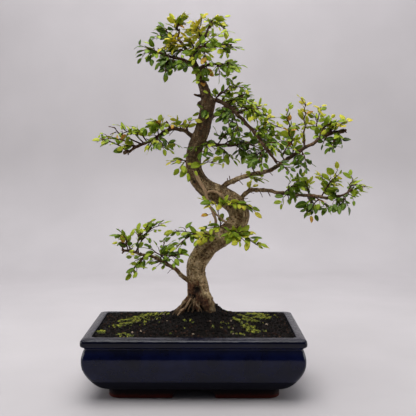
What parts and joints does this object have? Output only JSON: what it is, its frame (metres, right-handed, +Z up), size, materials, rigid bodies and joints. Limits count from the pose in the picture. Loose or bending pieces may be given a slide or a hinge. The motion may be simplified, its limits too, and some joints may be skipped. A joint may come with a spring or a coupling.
{
  "type": "bonsai tree",
  "caption": "Chinese elm bonsai with an S-shaped trunk and small toothed leaves, growing in a low glazed rectangular pot on corner feet.",
  "frame": {"origin": "middle of the bounding box in X and Y, at the level of the feet's bottoms", "axes": "+Z up along the tree, +X to the right along the pot's long side, +Y from the pot's front to its back"},
  "size_m": [0.3352, 0.158, 0.4485],
  "materials": {
    "glaze": "glossy cobalt blue glaze on stoneware",
    "soil": "dark granular bonsai soil with moss",
    "bark": "grey-brown flaking bark",
    "screen": "black plastic mesh",
    "leaf_dark": "old leaves, dark green and waxy",
    "leaf_mid": "grown leaves, mid green and waxy",
    "leaf_young": "young leaves, bright yellow-green",
    "leaf_yellow": "leaves turning yellow"
  },
  "bodies": {
    "root": {"drainage_screen_left": "screen", "drainage_screen_right": "screen", "pot": "glaze", "soil": "soil", "spray_back_right_1": "leaf_dark", "spray_back_right_2": "leaf_dark", "spray_back_right_3": "leaf_mid", "spray_back_right_4": "leaf_mid", "spray_back_upper_1": "leaf_mid", "spray_back_upper_2": "leaf_mid", "spray_crown_back_1": "leaf_mid", "spray_crown_left_1": "leaf_mid", "spray_crown_left_2": "leaf_dark", "spray_crown_left_3": "leaf_yellow", "spray_crown_low_left_1": "leaf_dark", "spray_crown_low_left_2": "leaf_dark", "spray_crown_low_right_1": "leaf_mid", "spray_crown_right_1": "leaf_mid", "spray_crown_right_2": "leaf_mid", "spray_crown_top_1": "leaf_yellow", "spray_crown_top_2": "leaf_mid", "spray_low_left_1": "leaf_mid", "spray_low_left_2": "leaf_young", "spray_low_left_3": "leaf_mid", "spray_low_left_4": "leaf_mid", "spray_low_left_5": "leaf_young", "spray_lower_right_1": "leaf_mid", "spray_lower_right_2": "leaf_young", "spray_lower_right_3": "leaf_young", "spray_lower_right_4": "leaf_young", "spray_lower_right_5": "leaf_dark", "spray_lower_right_6": "leaf_mid", "spray_mid_left_1": "leaf_mid", "spray_mid_left_2": "leaf_mid", "spray_mid_left_3": "leaf_mid", "spray_mid_left_4": "leaf_dark", "spray_mid_left_5": "leaf_mid", "spray_mid_left_6": "leaf_young", "spray_right_long_1": "leaf_young", "spray_right_long_2": "leaf_yellow", "spray_right_long_3": "leaf_young", "spray_right_long_4": "leaf_yellow", "spray_right_long_5": "leaf_dark", "spray_right_long_6": "leaf_dark", "spray_right_long_7": "leaf_dark", "spray_trunk_1": "leaf_mid", "spray_trunk_2": "leaf_young", "spray_trunk_3": "leaf_young", "spray_trunk_4": "leaf_young", "spray_trunk_5": "leaf_young", "spray_upper_right_1": "leaf_young", "spray_upper_right_2": "leaf_mid", "spray_upper_right_3": "leaf_young", "spray_upper_right_4": "leaf_dark", "spray_upper_right_5": "leaf_young", "spray_upper_right_6": "leaf_mid", "spray_upper_right_7": "leaf_dark", "spray_upper_right_8": "leaf_dark", "tree": "bark"}
  },
  "joints": []
}
